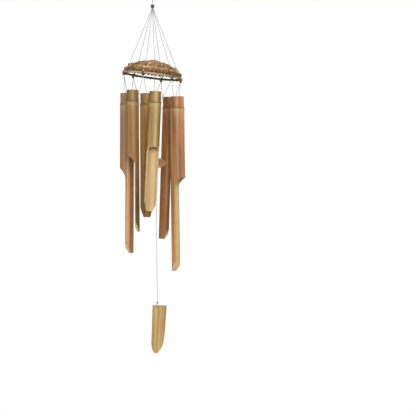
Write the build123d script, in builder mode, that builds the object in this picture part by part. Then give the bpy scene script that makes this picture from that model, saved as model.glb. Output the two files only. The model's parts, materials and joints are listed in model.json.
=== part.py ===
from build123d import *
import os
from collections import namedtuple
from math import atan2, cos, degrees, radians, sin, sqrt

# A bamboo wind chime, in millimetres. The origin is the centre of the steel ring
# that it hangs from, +Z is up and the chime's front faces -Y.

os.makedirs("parts", exist_ok=True)

# Lines and knots
LINE_D = 1.0  # nylon line
KNOT_GAP = 0.3  # between a knot and a line that swings on it

# Hanger
RING_R = 13.5  # to the middle of the wire
RING_WIRE_D = 3.0
LOOP_R = 2.5  # the loop's bend round the ring's wire
GATHER_Z = -34.0  # where all the lines come together
GATHER_KNOT_R = 4.0

# Woven cap: an oblate dome on a hoop, hanging a little out of level
CAP_TILT = 7.0  # degrees about Y, right side low
RIM_Z = -172.5
HOOP_R = 58.5
HOOP_D = 4.4
DOME_R = 59.5
DOME_H = 28.5
WEAVE_R = 46.0  # the closed weave ends here and open spokes go on to the hoop
WEAVE_T = 3.0
WEAVE_MID_R = 26.0
SPOKE_COUNT = 24
SPOKE_D = 2.2
SPOKE_START = 6.5  # degrees, so that every line passes between two spokes
SPOKE_GAP = 0.7  # between a spoke's end and the weave's edge
CROWN_HOLE_R = 2.0
CROWN_RING_R = 7.0
CROWN_RING_D = 3.0
CROWN_RING_REST = 0.2  # above the dome
CROWN_KNOT_R = 2.6
CROWN_KNOT_LIFT = 2.2  # above the dome's top

# Lines over the cap and the knots under its hoop
LINE_ANGLES = [14 - 60 * n for n in range(6)]
LANDING_R = 50.0  # where a line goes down through the cap
DOME_KNOT_R = 1.9
RIM_KNOT_R = 2.0
RIM_KNOT_DROP = 4.7  # below the hoop's middle
TIE_R = 2.9  # the turn of line round the hoop
HOOP_INSIDE_R = 54.4  # a line goes down just inside the hoop
LANDING_BEND_R = 12.0
HOOP_BEND_R = 3.0

# Tubes: one under the middle of each pair of knots. Each ends in a scooped tongue.
TubeSize = namedtuple("TubeSize", "length diameter drop shift sideways turned cut scoop hang")
# drop: from the knots down to the tube's top. shift: along its lacing holes. sideways: lean
# in degrees. turned: its scoop, in degrees about its axis. cut: how far outwards of its axis
# the tongue reaches, in radii. scoop: its height. hang: how far back its holes are, of what
# hangs it straight.
TUBES = [
    TubeSize(347, 29.5, drop=32, shift=0, sideways=0.2, turned=0, cut=-0.17, scoop=20, hang=0.5),
    TubeSize(236, 24.6, drop=29, shift=-5.2, sideways=-2.5, turned=0, cut=-0.05, scoop=13, hang=1),
    TubeSize(280, 25.4, drop=31, shift=0, sideways=0.3, turned=-40, cut=-0.3, scoop=18, hang=1),
    TubeSize(321, 28.5, drop=35, shift=0, sideways=0.1, turned=0, cut=-0.1, scoop=26, hang=1),
    TubeSize(252, 25.0, drop=28, shift=1.6, sideways=0.0, turned=0, cut=-0.1, scoop=24, hang=1),
    TubeSize(288, 26.4, drop=30, shift=7.5, sideways=2.65, turned=0, cut=-0.15, scoop=24, hang=1),
]
TUBE_WALL = 3.0
TUBE_HOLE_DROP = 14.0  # lacing holes, below the tube's top
TUBE_HOLE_R = 1.0
NODE_DROP = 23.0  # the bamboo's node, below the tube's top
NODE_PLATE_T = 3.0  # the wall that closes the tube at its node
NODE_RIDGE = 0.6
NODE_RIDGE_H = 3.0
NECK_STEP = 0.7  # the tube is thinner above its node
SCOOP_START = 0.465  # of the tube's length
TIP_H = 20.0
TIP_CUT = 6.0
STOPPER_R = 1.8  # knots inside the tube
STOPPER_GAP = 0.4
LACING_REACH = 2.8  # a line stands this far off the tube before it turns in
LACING_BEND_R = 1.9

# Clapper and wind catcher, on one line down the middle
CENTRE_LEAN = 0.7  # degrees, bottom to the right
CLAPPER_Z = -346.8
CLAPPER_D = 43.0
CLAPPER_T = 4.0
CLAPPER_EDGE = 0.8  # rounding
CLAPPER_TILT = 27.0  # front edge low
CLAPPER_HOLE_R = 2.3
CLAPPER_KNOT_R = 2.6
CLAPPER_KNOT_DROP = 5.7  # along the line, below the clapper's middle
SAIL_KNOT_Z = -625.5
SAIL_KNOT_R = 1.6
SAIL_KNOT_LIFT = 6.0  # above the sail's top edge
SAIL_LENGTH = 98.0
SAIL_R = 14.6
SAIL_WALL = 3.0
SAIL_HOLE_R = 1.3
SAIL_HOLE_DROP = 4.5
SAIL_FACING = -110.0  # degrees, the way its round side faces
SAIL_LOOP_REACH = 4.0  # the loop stands this far off both faces of the wall
SAIL_LOOP_BEND_R = 1.5
SAIL_LOOP_END = 1.2  # the loop's ends, below the middle of its knot


def save(piece, name):
    piece.part.label = name
    export_step(piece.part, f"parts/{name}.step")


def outward(angle):
    return Vector(cos(radians(angle)), sin(radians(angle)), 0)


def line_along(points, bends=None):
    """A nylon line along straight runs, joined by tangent arcs of the given radii."""
    with BuildPart() as line:
        with BuildLine() as route:
            if bends:
                FilletPolyline(*points, radius=bends)
            else:
                Line(*points)
        with BuildSketch(Plane(origin=route.line @ 0, z_dir=route.line % 0)):
            Circle(LINE_D / 2)
        sweep()
    return line


def balls(centres, radius):
    with BuildPart() as knots:
        with Locations(*centres):
            Sphere(radius)
    return knots


# ---------------------------------------------------------------- hanger

with BuildPart() as hanger_ring:
    with BuildSketch(Plane.XY) as ring_section:
        with Locations((RING_R, 0)):
            Circle(RING_WIRE_D / 2)
    revolve(axis=Axis.Y)
save(hanger_ring, "hanger_ring")

gather = Vector(0, 0, GATHER_Z)
loop_end_z = GATHER_Z + sqrt((GATHER_KNOT_R + KNOT_GAP) ** 2 - LOOP_R**2)

with BuildPart() as hanger_loop:
    with BuildLine(Plane.YZ) as loop_route:
        Line((-LOOP_R, loop_end_z), (-LOOP_R, -RING_R))
        ThreePointArc((-LOOP_R, -RING_R), (0, LOOP_R - RING_R), (LOOP_R, -RING_R))
        Line((LOOP_R, -RING_R), (LOOP_R, loop_end_z))
    with BuildSketch(Plane.XY.offset(loop_end_z)):
        with Locations((0, -LOOP_R)):
            Circle(LINE_D / 2)
    sweep()
save(hanger_loop, "hanger_loop")

save(balls([gather], GATHER_KNOT_R), "gather_knot")

# ---------------------------------------------------------------- cap

cap_across = Vector(cos(radians(CAP_TILT)), 0, -sin(radians(CAP_TILT)))
cap_up = Vector(sin(radians(CAP_TILT)), 0, cos(radians(CAP_TILT)))
cap_plane = Plane(origin=(0, 0, RIM_Z), x_dir=cap_across, z_dir=cap_up)


def on_cap(radius, angle, height):
    """A point given by its distance from the cap's axis, its bearing and its height."""
    spot = outward(angle) * radius
    return cap_plane.from_local_coords(Vector(spot.X, spot.Y, height))


def dome_height(radius):
    return DOME_H * sqrt(1 - (radius / DOME_R) ** 2)


def cap_section(angle=0.0):
    """The upright plane through the cap's axis at a bearing: x outwards, y up."""
    across = cap_plane.from_local_coords(outward(angle)) - cap_plane.origin
    return Plane(origin=cap_plane.origin, x_dir=across, z_dir=across.cross(cap_up))


with BuildPart(cap_plane) as rim_hoop:
    Torus(HOOP_R, HOOP_D / 2)
save(rim_hoop, "rim_hoop")

weave_radii = [CROWN_HOLE_R, WEAVE_MID_R, WEAVE_R]
weave_top = [(r, dome_height(r)) for r in weave_radii]
weave_under = [(r, dome_height(r) - WEAVE_T) for r in weave_radii]

with BuildPart() as cap_weave:
    with BuildSketch(cap_section()):
        with BuildLine():
            ThreePointArc(*weave_top)
            Line(weave_top[-1], weave_under[-1])
            ThreePointArc(*reversed(weave_under))
            Line(weave_under[0], weave_top[0])
        make_face()
    revolve(axis=Axis(cap_plane.origin, cap_up))
save(cap_weave, "cap_weave")

spoke_top = (WEAVE_R + SPOKE_GAP, dome_height(WEAVE_R) - WEAVE_T / 2)
spoke_mid = (HOOP_R - 4.0, dome_height(HOOP_R - 4.0) - SPOKE_D / 2)
spoke_foot = (HOOP_R - 0.2, HOOP_D / 2 + 0.4)

with BuildPart() as one_spoke:
    with BuildLine(Plane.XZ) as spoke_route:
        ThreePointArc(spoke_top, spoke_mid, spoke_foot)
    with BuildSketch(Plane(origin=spoke_route.line @ 0, z_dir=spoke_route.line % 0)):
        Circle(SPOKE_D / 2)
    sweep()

with BuildPart(cap_plane) as cap_spokes:
    with PolarLocations(0, SPOKE_COUNT, start_angle=SPOKE_START):
        add(one_spoke.part)
save(cap_spokes, "cap_spokes")

crown_ring_lift = dome_height(CROWN_RING_R) + CROWN_RING_D / 2 + CROWN_RING_REST
with BuildPart(cap_plane.offset(crown_ring_lift)) as crown_ring:
    Torus(CROWN_RING_R, CROWN_RING_D / 2)
save(crown_ring, "crown_ring")

crown = on_cap(0, 0, DOME_H + CROWN_KNOT_LIFT)
save(balls([crown], CROWN_KNOT_R), "crown_knot")

# ---------------------------------------------------------------- lines over the cap

rim_knots_at = [on_cap(HOOP_R, a, -RIM_KNOT_DROP) for a in LINE_ANGLES]
landings = [on_cap(LANDING_R, a, dome_height(LANDING_R)) for a in LINE_ANGLES]

for n, angle in enumerate(LINE_ANGLES):
    landing = landings[n]
    inside_hoop = on_cap(HOOP_INSIDE_R, angle, 0.5)
    knot = rim_knots_at[n]
    start = gather + (landing - gather).normalized() * (GATHER_KNOT_R + KNOT_GAP)
    end = knot + (inside_hoop - knot).normalized() * RIM_KNOT_R
    line = line_along([start, landing, inside_hoop, end], bends=[LANDING_BEND_R, HOOP_BEND_R])
    save(line, f"suspension_line_{n + 1}")

save(balls(landings, DOME_KNOT_R), "dome_knots")

with BuildPart() as rim_knots:
    with Locations(*rim_knots_at):
        Sphere(RIM_KNOT_R)
    for angle in LINE_ANGLES:
        round_hoop = cap_section(angle).z_dir
        with Locations(Plane(on_cap(HOOP_R, angle, 0), x_dir=cap_up, z_dir=round_hoop)):
            Torus(TIE_R, LINE_D / 2)
save(rim_knots, "rim_knots")

centre_start = gather + (crown - gather).normalized() * (GATHER_KNOT_R + KNOT_GAP)
centre_end = crown + (gather - crown).normalized() * (CROWN_KNOT_R + KNOT_GAP)
save(line_along([centre_start, centre_end]), "centre_line")

# ---------------------------------------------------------------- tubes


def tube_seat(n):
    """The plane at the middle of a tube's lacing holes: x outwards, z up."""
    middle = (rim_knots_at[n] + rim_knots_at[(n + 1) % 6]) / 2
    down = Vector(0, 0, TUBES[n].drop + TUBE_HOLE_DROP)
    seat = Plane(origin=middle - down, x_dir=outward(LINE_ANGLES[n] - 30), z_dir=(0, 0, 1))
    return Plane(
        origin=seat.origin + seat.y_dir * TUBES[n].shift, x_dir=seat.x_dir, z_dir=(0, 0, 1)
    )


def bamboo_tube(size, seat, hole_x=0.0):
    """A tube of bamboo whose axis is its seat's z. Its lacing holes are at hole_x."""
    top = TUBE_HOLE_DROP
    bottom = top - size.length
    node = top - NODE_DROP
    outer = size.diameter / 2
    neck = outer - NECK_STEP
    bore = outer - TUBE_WALL
    cup = neck - TUBE_WALL
    plate_top = node + NODE_PLATE_T / 2
    plate_under = node - NODE_PLATE_T / 2
    scoop = Plane(seat.location * Rotation(0, 0, size.turned))
    side = Plane(origin=seat.origin, x_dir=scoop.x_dir, z_dir=-scoop.y_dir)
    front = Plane(origin=seat.origin, x_dir=scoop.y_dir, z_dir=scoop.x_dir)
    with BuildPart() as tube:
        with BuildSketch(side):
            with BuildLine():
                Polyline(
                    (0, plate_top),
                    (cup, plate_top),
                    (cup, top),
                    (neck, top),
                    (neck, node + NODE_RIDGE_H),
                    (outer + NODE_RIDGE, node),
                    (outer, node - NODE_RIDGE_H),
                    (outer, bottom),
                    (bore, bottom),
                    (bore, plate_under),
                    (0, plate_under),
                    close=True,
                )
            make_face()
        revolve(axis=Axis(seat.origin, seat.z_dir))

        flat = size.cut * outer
        depth = outer - flat
        scoop_r = (depth**2 + size.scoop**2) / (2 * depth)
        turn = atan2(size.scoop, scoop_r - depth)
        scoop_top = top - SCOOP_START * size.length
        scoop_flat = scoop_top - size.scoop
        scoop_mid = (
            flat + scoop_r * (1 - cos(turn / 2)),
            scoop_flat + scoop_r * sin(turn / 2),
        )
        with BuildSketch(side):
            with BuildLine():
                ThreePointArc((flat, scoop_flat), scoop_mid, (outer, scoop_top))
                Polyline(
                    (outer, scoop_top),
                    (2 * outer, scoop_top),
                    (2 * outer, bottom - 1),
                    (flat, bottom - 1),
                    (flat, scoop_flat),
                )
            make_face()
        extrude(amount=size.diameter, both=True, mode=Mode.SUBTRACT)

        half_width = sqrt(outer**2 - flat**2)
        with BuildSketch(front):
            for hand in (-1, 1):
                with BuildLine():
                    Polyline(
                        (hand * (outer + 1), bottom + TIP_H),
                        (hand * outer, bottom + TIP_H),
                        (hand * (half_width - TIP_CUT), bottom - 1),
                        (hand * (outer + 1), bottom - 1),
                        close=True,
                    )
                make_face()
        extrude(amount=size.diameter, both=True, mode=Mode.SUBTRACT)

        holes_at = seat.from_local_coords(Vector(hole_x, 0, 0))
        with BuildSketch(Plane(origin=holes_at, z_dir=seat.y_dir)):
            Circle(TUBE_HOLE_R)
        extrude(amount=size.diameter, both=True, mode=Mode.SUBTRACT)
    return tube


def leaned(seat, sideways, lean):
    """A seat turned about its own x by the sideways lean, then about its own y."""
    return Plane(seat.location * Rotation(sideways, lean, 0))


def hanging_lean(piece, hole_x=0.0):
    """How far a piece must lean, in degrees, to hang with its mass under its holes."""
    mass = piece.part.center(CenterOf.MASS)
    return degrees(atan2(mass.X - hole_x, -mass.Z))


tube_axes = []
lacing_seats = []
for n, size in enumerate(TUBES):
    plain = bamboo_tube(size, Plane.XY)
    hole_x = size.hang * plain.part.center(CenterOf.MASS).X
    laced = leaned(tube_seat(n), size.sideways, hanging_lean(plain, hole_x))
    axis_at = laced.from_local_coords(Vector(-hole_x, 0, 0))
    seat = Plane(origin=axis_at, x_dir=laced.x_dir, z_dir=laced.z_dir)
    tube_axes.append(seat)
    lacing_seats.append(laced)
    save(bamboo_tube(size, seat, hole_x), f"tube_{n + 1}")

    neck = size.diameter / 2 - NECK_STEP
    stopper = sqrt((neck - TUBE_WALL - STOPPER_R - STOPPER_GAP) ** 2 - hole_x**2)
    stoppers = []
    for hand, side in ((-1, "right"), (1, "left")):
        knot = rim_knots_at[(n + (hand < 0)) % 6]
        turn_in = laced.from_local_coords(Vector(0, hand * (neck + LACING_REACH), 0))
        inside = laced.from_local_coords(Vector(0, hand * (stopper + STOPPER_R), 0))
        stoppers.append(laced.from_local_coords(Vector(0, hand * stopper, 0)))
        start = knot + (turn_in - knot).normalized() * (RIM_KNOT_R + KNOT_GAP)
        line = line_along([start, turn_in, inside], bends=[LACING_BEND_R])
        save(line, f"tube_{n + 1}_line_{side}")
    save(balls(stoppers, STOPPER_R), f"tube_{n + 1}_stopper_knots")

# ---------------------------------------------------------------- clapper

centre_down = Vector(sin(radians(CENTRE_LEAN)), 0, -cos(radians(CENTRE_LEAN)))


def on_centre_line(z):
    return crown + centre_down * ((crown.Z - z) / cos(radians(CENTRE_LEAN)))


clapper_middle = on_centre_line(CLAPPER_Z)
clapper_knot = clapper_middle + centre_down * CLAPPER_KNOT_DROP
sail_knot = on_centre_line(SAIL_KNOT_Z)
clapper_plane = Plane(origin=clapper_middle, x_dir=(1, 0, 0), z_dir=-centre_down)
clapper_plane = clapper_plane.rotated((CLAPPER_TILT, 0, 0))

line = line_along(
    [
        crown + centre_down * (CROWN_KNOT_R + KNOT_GAP),
        clapper_knot - centre_down * CLAPPER_KNOT_R,
    ]
)
save(line, "clapper_line")

with BuildPart() as clapper_disc:
    with BuildSketch(clapper_plane):
        Circle(CLAPPER_D / 2)
        Circle(CLAPPER_HOLE_R, mode=Mode.SUBTRACT)
    extrude(amount=CLAPPER_T / 2, both=True)
    rims = clapper_disc.edges().filter_by(GeomType.CIRCLE).sort_by(SortBy.RADIUS)[-2:]
    fillet(rims, CLAPPER_EDGE)
save(clapper_disc, "clapper_disc")

save(balls([clapper_knot], CLAPPER_KNOT_R), "clapper_knot")

# ---------------------------------------------------------------- wind catcher

line = line_along(
    [
        clapper_knot + centre_down * (CLAPPER_KNOT_R + KNOT_GAP),
        sail_knot - centre_down * (SAIL_KNOT_R + KNOT_GAP),
    ]
)
save(line, "sail_line")
save(balls([sail_knot], SAIL_KNOT_R), "sail_knot")

sail_wall_middle = SAIL_R - SAIL_WALL / 2
sail_top = SAIL_HOLE_DROP
sail_bottom = sail_top - SAIL_LENGTH
SAIL_CUT = [(0.0, 0.0), (0.28, 0.6), (0.5, 0.79), (0.87, 0.93), (1.02, 1.0)]


def bamboo_sail(seat):
    """A slice of bamboo in its seat at its hole: x the way its round side faces."""
    axis_at = seat.from_local_coords(Vector(-sail_wall_middle, 0, 0))
    side = Plane(origin=axis_at, x_dir=seat.x_dir, z_dir=-seat.y_dir)
    with BuildPart() as sail:
        with BuildSketch(side):
            with Locations((SAIL_R - SAIL_WALL / 2, (sail_top + sail_bottom) / 2)):
                Rectangle(SAIL_WALL, SAIL_LENGTH)
        revolve(axis=Axis(axis_at, seat.z_dir))
        with BuildSketch(side):
            with BuildLine():
                cut = [(SAIL_R * x, sail_top - SAIL_LENGTH * z) for x, z in SAIL_CUT]
                Spline(*cut)
                Polyline(
                    cut[-1],
                    (SAIL_R + 1, sail_bottom - 1),
                    (-SAIL_R - 1, sail_bottom - 1),
                    (-SAIL_R - 1, sail_top + 1),
                    (0, sail_top + 1),
                    cut[0],
                )
            make_face()
        extrude(amount=2 * SAIL_R, both=True, mode=Mode.SUBTRACT)
        with BuildSketch(Plane(origin=seat.origin, z_dir=seat.x_dir)):
            Circle(SAIL_HOLE_R)
        extrude(amount=SAIL_WALL, both=True, mode=Mode.SUBTRACT)
    return sail


sail_hole = sail_knot - Vector(0, 0, SAIL_KNOT_LIFT + SAIL_HOLE_DROP)
sail_seat = Plane(origin=sail_hole, x_dir=outward(SAIL_FACING), z_dir=(0, 0, 1))
sail_lean = hanging_lean(bamboo_sail(Plane.XY))
save(bamboo_sail(leaned(sail_seat, 0, sail_lean)), "sail")

loop_reach = SAIL_WALL / 2 + SAIL_LOOP_REACH
knot_side = SAIL_KNOT_R - LINE_D / 2
knot_lift = sail_knot.Z - sail_hole.Z
loop_front = sail_seat.from_local_coords(Vector(loop_reach, 0, 0))
loop_back = sail_seat.from_local_coords(Vector(-loop_reach, 0, 0))
front_start = sail_seat.from_local_coords(Vector(knot_side, 0, knot_lift - SAIL_LOOP_END))
back_end = sail_seat.from_local_coords(Vector(-knot_side, 0, knot_lift - SAIL_LOOP_END))
sail_loop = line_along(
    [front_start, loop_front, loop_back, back_end],
    bends=[SAIL_LOOP_BEND_R, SAIL_LOOP_BEND_R],
)
save(sail_loop, "sail_loop")

print("radii of the lines' bends:", LANDING_BEND_R, HOOP_BEND_R, LACING_BEND_R, SAIL_LOOP_BEND_R)
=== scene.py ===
import json
import random
from math import acos, asin, atan2, cos, pi, radians, sin, sqrt

import bpy
from mathutils import Matrix, Vector, noise


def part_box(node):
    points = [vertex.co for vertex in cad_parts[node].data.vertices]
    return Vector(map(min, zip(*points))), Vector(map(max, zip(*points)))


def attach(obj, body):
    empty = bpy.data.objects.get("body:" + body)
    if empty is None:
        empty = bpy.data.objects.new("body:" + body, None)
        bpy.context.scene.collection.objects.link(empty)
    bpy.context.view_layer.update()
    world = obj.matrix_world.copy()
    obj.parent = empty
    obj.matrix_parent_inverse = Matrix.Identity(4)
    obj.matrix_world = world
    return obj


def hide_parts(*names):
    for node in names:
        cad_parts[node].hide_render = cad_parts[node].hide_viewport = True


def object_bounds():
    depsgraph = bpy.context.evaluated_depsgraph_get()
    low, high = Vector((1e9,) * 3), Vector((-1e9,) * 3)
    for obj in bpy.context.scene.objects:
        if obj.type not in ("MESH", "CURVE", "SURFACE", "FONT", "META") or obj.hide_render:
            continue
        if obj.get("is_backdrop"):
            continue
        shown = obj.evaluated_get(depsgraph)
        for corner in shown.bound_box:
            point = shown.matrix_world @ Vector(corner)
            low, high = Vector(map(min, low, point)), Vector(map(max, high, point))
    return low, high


# The looks of a bamboo wind chime, in metres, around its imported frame. The origin is
# the centre of the hanging ring, +Z is up and the chime's front faces -Y.

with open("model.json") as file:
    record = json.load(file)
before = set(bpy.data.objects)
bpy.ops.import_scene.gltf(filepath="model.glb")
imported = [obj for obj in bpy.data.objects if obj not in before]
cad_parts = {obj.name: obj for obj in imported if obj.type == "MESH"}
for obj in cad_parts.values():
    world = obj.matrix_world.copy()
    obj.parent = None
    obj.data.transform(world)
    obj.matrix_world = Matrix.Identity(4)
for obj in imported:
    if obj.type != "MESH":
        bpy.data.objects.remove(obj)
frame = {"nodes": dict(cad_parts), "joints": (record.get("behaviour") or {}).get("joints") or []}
cad_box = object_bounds()
MM = 0.001


def link(thing):
    bpy.context.scene.collection.objects.link(thing)


# ---------------------------------------------------------------- places from the frame


def middle(node):
    low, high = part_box(node)
    return (low + high) / 2


def joint(name):
    return next(j for j in frame["joints"] if j["name"] == name)


LINE_D = 1.0 * MM
KNOT_GAP = 0.3 * MM
TURNS = range(6)
LINE_ANGLES = [14 - 60 * n for n in TURNS]

# Woven cap
CAP_TILT = 7.0
HOOP_R = 58.5 * MM
HOOP_D = 4.4 * MM
DOME_R = 59.5 * MM
DOME_H = 28.5 * MM
LANDING_R = 50.0 * MM
HOOP_INSIDE_R = 54.4 * MM
HOOP_INSIDE_LIFT = 0.5 * MM
RIM_KNOT_DROP = 4.7 * MM
RIM_KNOT_R = 2.0 * MM
GATHER_KNOT_R = 4.0 * MM

cap_middle = middle("rim_hoop")
cap_across = Vector((cos(radians(CAP_TILT)), 0, -sin(radians(CAP_TILT))))
cap_up = Vector((sin(radians(CAP_TILT)), 0, cos(radians(CAP_TILT))))
cap_back = cap_up.cross(cap_across)
gather = middle("gather_knot")
crown = middle("crown_knot")


def on_cap(radius, angle, height):
    """A point given by its distance from the cap's axis, its bearing and its height."""
    a = radians(angle)
    return cap_middle + radius * (cap_across * cos(a) + cap_back * sin(a)) + cap_up * height


def dome_height(radius):
    return DOME_H * sqrt(max(0.0, 1 - (radius / DOME_R) ** 2))


def dome_normal(radius, angle):
    """The outward normal of the dome's surface."""
    a = radians(angle)
    out = cap_across * cos(a) + cap_back * sin(a)
    rise = dome_height(radius) / DOME_H**2
    return (out * (radius / DOME_R**2) + cap_up * rise).normalized()


class Seat:
    """The frame of a tube at its lacing holes: x outwards, y along the holes, z up."""

    def __init__(self, node, rock_joint):
        rock = joint(rock_joint)
        self.origin = Vector(rock["pos_m"])
        self.y = -Vector(rock["axis"]).normalized()
        mesh = frame["nodes"][node].data
        flat = [f for f in mesh.polygons if f.normal.z > 0.99 and abs(f.normal @ self.y) < 0.01]
        rim = max(flat, key=lambda f: f.center.z)
        self.z = rim.normal.normalized()
        self.x = self.y.cross(self.z).normalized()
        self.matrix = Matrix((self.x, self.y, self.z)).transposed()
        local = [self.inward(v.co) for v in mesh.vertices]
        self.top = max(p.z for p in local)
        self.bottom = min(p.z for p in local)
        across = [p.x for p in local if p.z > self.top - 0.1 * MM]
        self.axis_x = (min(across) + max(across)) / 2
        self.widest = max(sqrt((p.x - self.axis_x) ** 2 + p.y**2) for p in local)

    def outward(self, point):
        return self.origin + self.matrix @ Vector(point)

    def inward(self, point):
        return self.matrix.transposed() @ (Vector(point) - self.origin)


seats = [Seat(f"tube_{n + 1}", f"tube_{n + 1}_rock") for n in TURNS]


# ---------------------------------------------------------------- camera, light, floor

CAMERA_AT = Vector((0.110, -3.0, -0.436))
CAMERA_LENS = 130.0

camera = bpy.data.objects.new("camera", bpy.data.cameras.new("camera"))
camera.data.sensor_width = 36.0
camera.data.lens = CAMERA_LENS
camera.location = CAMERA_AT
camera.rotation_euler = (radians(90), 0, 0)
link(camera)
bpy.context.scene.camera = camera
bpy.context.scene.view_settings.view_transform = "Standard"


def softbox(name, at, look_at, width, height, watts, colour=(1, 1, 1)):
    data = bpy.data.lights.new(name, "AREA")
    data.shape = "RECTANGLE"
    data.size = width
    data.size_y = height
    data.energy = watts
    data.color = colour
    light = bpy.data.objects.new(name, data)
    light.location = at
    light.rotation_mode = "QUATERNION"
    light.rotation_quaternion = (Vector(look_at) - Vector(at)).to_track_quat("-Z", "Y")
    link(light)


CHIME_MIDDLE = (0, 0, -0.4)
softbox("key_light", (0.35, -2.5, 0.3), CHIME_MIDDLE, 0.5, 1.8, 52)
softbox("fill_light", (-1.8, -1.6, -0.2), CHIME_MIDDLE, 1.2, 1.8, 14)
softbox("back_light", (0.6, 2.4, 0.4), CHIME_MIDDLE, 1.6, 1.6, 22)
softbox("top_light", (-0.2, 0.2, 1.8), CHIME_MIDDLE, 1.2, 1.2, 10)

world = bpy.data.worlds.new("studio")
bpy.context.scene.world = world
world.use_nodes = True
world.node_tree.nodes.clear()
sky_out = world.node_tree.nodes.new("ShaderNodeOutputWorld")
sky_mix = world.node_tree.nodes.new("ShaderNodeMixShader")
sky_path = world.node_tree.nodes.new("ShaderNodeLightPath")
for slot, strength in ((1, 0.45), (2, 1.0)):
    sky = world.node_tree.nodes.new("ShaderNodeBackground")
    sky.inputs["Color"].default_value = (1, 1, 1, 1)
    sky.inputs["Strength"].default_value = strength
    world.node_tree.links.new(sky.outputs[0], sky_mix.inputs[slot])
world.node_tree.links.new(sky_path.outputs["Is Camera Ray"], sky_mix.inputs[0])
world.node_tree.links.new(sky_mix.outputs[0], sky_out.inputs[0])

# ---------------------------------------------------------------- materials


class Material:
    """A Principled material and short ways to add nodes to it."""

    def __init__(self, name, **sockets):
        self.material = bpy.data.materials.new(name)
        self.material.use_nodes = True
        self.tree = self.material.node_tree
        self.shader = self.tree.nodes["Principled BSDF"]
        for socket, value in sockets.items():
            self.shader.inputs[socket.replace("_", " ")].default_value = value

    def node(self, kind, **settings):
        made = self.tree.nodes.new("ShaderNode" + kind)
        for setting, value in settings.items():
            setattr(made, setting, value)
        return made

    def join(self, output, socket):
        self.tree.links.new(output, socket)

    def attribute(self, name):
        return self.node("Attribute", attribute_name=name)

    def grain(self, *shift):
        """A piece's own grain, and the same shifted to noise of its own."""
        own = self.attribute("grain").outputs["Vector"]
        place = self.node("VectorMath", operation="ADD")
        place.inputs[1].default_value = shift
        self.join(own, place.inputs[0])
        return own, place.outputs[0]

    def scaled(self, source, scale):
        mapping = self.node("Mapping")
        mapping.inputs["Scale"].default_value = scale
        self.join(source, mapping.inputs["Vector"])
        return mapping.outputs["Vector"]

    def noise(self, source, scale, stretch=(1, 1, 1), detail=3.0, roughness=0.5):
        """Noise of that many cycles a metre."""
        made = self.node("TexNoise")
        made.inputs["Scale"].default_value = scale
        made.inputs["Detail"].default_value = detail
        made.inputs["Roughness"].default_value = roughness
        self.join(self.scaled(source, stretch), made.inputs["Vector"])
        return made.outputs["Fac"]

    def ramp(self, source, stops):
        made = self.node("ValToRGB")
        elements = made.color_ramp.elements
        while len(elements) < len(stops):
            elements.new(0.5)
        for element, (position, colour) in zip(elements, stops):
            element.position = position
            element.color = (*colour, 1)
        self.join(source, made.inputs["Fac"])
        return made.outputs["Color"]

    def range(self, source, low, high, to_low=0.0, to_high=1.0):
        made = self.node("MapRange")
        for socket, value in zip(made.inputs[1:5], (low, high, to_low, to_high)):
            socket.default_value = value
        self.join(source, made.inputs["Value"])
        return made.outputs["Result"]

    def mix(self, share, first, second, blend="MIX"):
        made = self.node("Mix", data_type="RGBA", blend_type=blend)
        for value, socket in ((share, made.inputs[0]), (first, made.inputs[6]), (second, made.inputs[7])):
            if isinstance(value, bpy.types.NodeSocket):
                self.join(value, socket)
            else:
                socket.default_value = value if isinstance(value, float) else (*value, 1)
        return made.outputs[2]

    def times(self, colour, source, stops, share=1.0):
        """The colour multiplied by a ramp."""
        return self.mix(share, colour, self.ramp(source, stops), "MULTIPLY")

    def spots(self, colour, source, stops, over):
        """The colour with another laid over it where a ramp is light."""
        return self.mix(self.ramp(source, stops), colour, over)

    def bump(self, height, distance, strength):
        made = self.node("Bump")
        made.inputs["Distance"].default_value = distance
        made.inputs["Strength"].default_value = strength
        self.join(height, made.inputs["Height"])
        return made.outputs["Normal"]

    def finish(self, colour, roughness, normal):
        self.join(colour, self.shader.inputs["Base Color"])
        self.join(roughness, self.shader.inputs["Roughness"])
        self.join(normal, self.shader.inputs["Normal"])
        return self.material


ALONG = (1, 1, 0.035)  # grain is long in a piece's own z


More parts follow.
